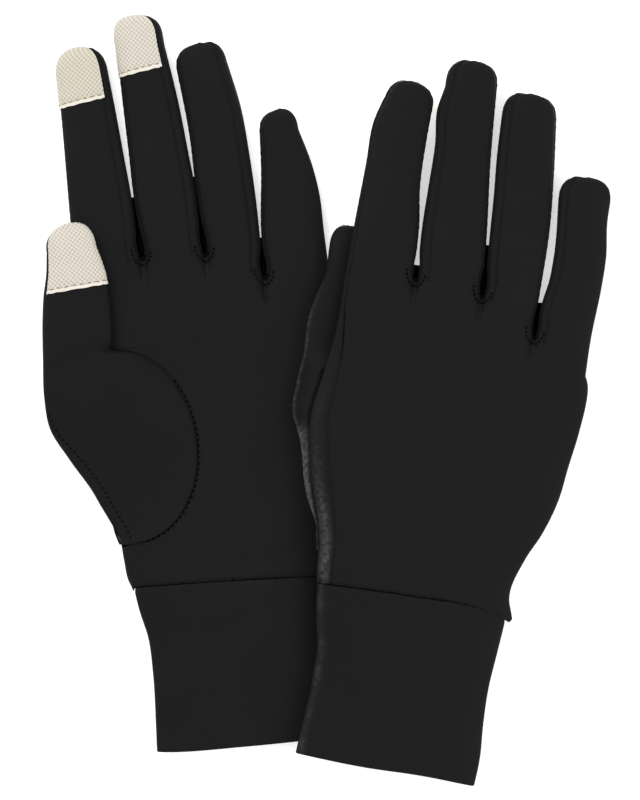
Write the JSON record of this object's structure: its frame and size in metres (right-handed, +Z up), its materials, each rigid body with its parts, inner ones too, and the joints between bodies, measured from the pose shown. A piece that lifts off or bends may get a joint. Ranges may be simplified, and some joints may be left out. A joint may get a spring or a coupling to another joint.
{
  "type": "touchscreen gloves",
  "caption": "Black stretch-jersey gloves laid flat, left palm up and right back up, with pale conductive fingertip patches, set-in thumbs and plain folded cuffs.",
  "frame": {"origin": "centre of the pair's bounding box on the surface that the gloves lie on", "axes": "+Y towards the fingertips, +X towards the glove that lies on the right, +Z up, away from the surface"},
  "size_m": [0.1981, 0.2722, 0.0201],
  "materials": {
    "jersey": "smooth black stretch jersey with a soft sheen",
    "touch_knit": "cream conductive mesh knit",
    "seam_thread": "black overlock thread"
  },
  "bodies": {
    "left_hand": {"left_cuff": "jersey", "left_wrist_seam": "seam_thread", "left_palm_panel": "jersey", "left_back_panel": "jersey", "left_thumb_gusset": "jersey", "left_index_middle_fourchette": "jersey", "left_middle_ring_fourchette": "jersey", "left_ring_little_fourchette": "jersey"},
    "left_thumb_body": {"left_thumb": "jersey", "left_thumb_patch": "touch_knit"},
    "left_index_finger": {"left_index_palm": "jersey", "left_index_back": "jersey", "left_index_sides": "jersey", "left_index_patch": "touch_knit"},
    "left_middle_finger": {"left_middle_palm": "jersey", "left_middle_back": "jersey", "left_middle_sides": "jersey", "left_middle_patch": "touch_knit"},
    "left_ring_finger": {"left_ring_palm": "jersey", "left_ring_back": "jersey", "left_ring_sides": "jersey"},
    "left_little_finger": {"left_little_palm": "jersey", "left_little_back": "jersey", "left_little_sides": "jersey"},
    "right_hand": {"right_cuff": "jersey", "right_wrist_seam": "seam_thread", "right_palm_panel": "jersey", "right_back_panel": "jersey", "right_thumb_gusset": "jersey", "right_index_middle_fourchette": "jersey", "right_middle_ring_fourchette": "jersey", "right_ring_little_fourchette": "jersey"},
    "right_thumb_body": {"right_thumb": "jersey", "right_thumb_patch": "touch_knit"},
    "right_index_finger": {"right_index_palm": "jersey", "right_index_back": "jersey", "right_index_sides": "jersey", "right_index_patch": "touch_knit"},
    "right_middle_finger": {"right_middle_palm": "jersey", "right_middle_back": "jersey", "right_middle_sides": "jersey", "right_middle_patch": "touch_knit"},
    "right_ring_finger": {"right_ring_palm": "jersey", "right_ring_back": "jersey", "right_ring_sides": "jersey"},
    "right_little_finger": {"right_little_palm": "jersey", "right_little_back": "jersey", "right_little_sides": "jersey"}
  },
  "joints": [
    {"name": "right_glove_lift", "type": "slide", "parent": "left_hand", "child": "right_hand", "axis": [0, 0, 1], "range_m": [0, 0.08]},
    {"name": "left_index_fold", "type": "hinge", "parent": "left_hand", "child": "left_index_finger", "pos_m": [-0.07698, 0.06674, 0.0072], "axis": [0.9885, 0.1513, 0], "range_deg": [0, 90]},
    {"name": "left_middle_fold", "type": "hinge", "parent": "left_hand", "child": "left_middle_finger", "pos_m": [-0.05559, 0.07507, 0.0072], "axis": [0.9885, 0.1513, 0], "range_deg": [0, 90]},
    {"name": "left_ring_fold", "type": "hinge", "parent": "left_hand", "child": "left_ring_finger", "pos_m": [-0.03424, 0.07833, 0.0072], "axis": [0.9885, 0.1513, 0], "range_deg": [0, 90]},
    {"name": "left_little_fold", "type": "hinge", "parent": "left_hand", "child": "left_little_finger", "pos_m": [-0.00981, 0.05881, 0.0072], "axis": [0.9885, 0.1513, 0], "range_deg": [0, 90]},
    {"name": "left_thumb_spread", "type": "hinge", "parent": "left_hand", "child": "left_thumb_body", "pos_m": [-0.09729, 0.01304, 0.0109], "axis": [0, 0, 1], "range_deg": [0, 25]},
    {"name": "right_index_fold", "type": "hinge", "parent": "right_hand", "child": "right_index_finger", "pos_m": [0.02435, 0.05865, 0.01796], "axis": [0.9827, -0.1207, -0.1402], "range_deg": [0, 90]},
    {"name": "right_middle_fold", "type": "hinge", "parent": "right_hand", "child": "right_middle_finger", "pos_m": [0.04717, 0.06072, 0.01442], "axis": [0.9837, -0.1208, -0.1334], "range_deg": [0, 90]},
    {"name": "right_ring_fold", "type": "hinge", "parent": "right_hand", "child": "right_ring_finger", "pos_m": [0.06861, 0.05808, 0.01151], "axis": [0.9837, -0.1208, -0.1334], "range_deg": [0, 90]},
    {"name": "right_little_fold", "type": "hinge", "parent": "right_hand", "child": "right_little_finger", "pos_m": [0.08694, 0.03345, 0.00887], "axis": [0.9808, -0.1204, -0.1531], "range_deg": [0, 90]},
    {"name": "right_thumb_spread", "type": "hinge", "parent": "right_hand", "child": "right_thumb_body", "pos_m": [-0.00953, 0.01415, 0.01268], "axis": [0.152, -0.0187, 0.9882], "range_deg": [0, 12]}
  ]
}
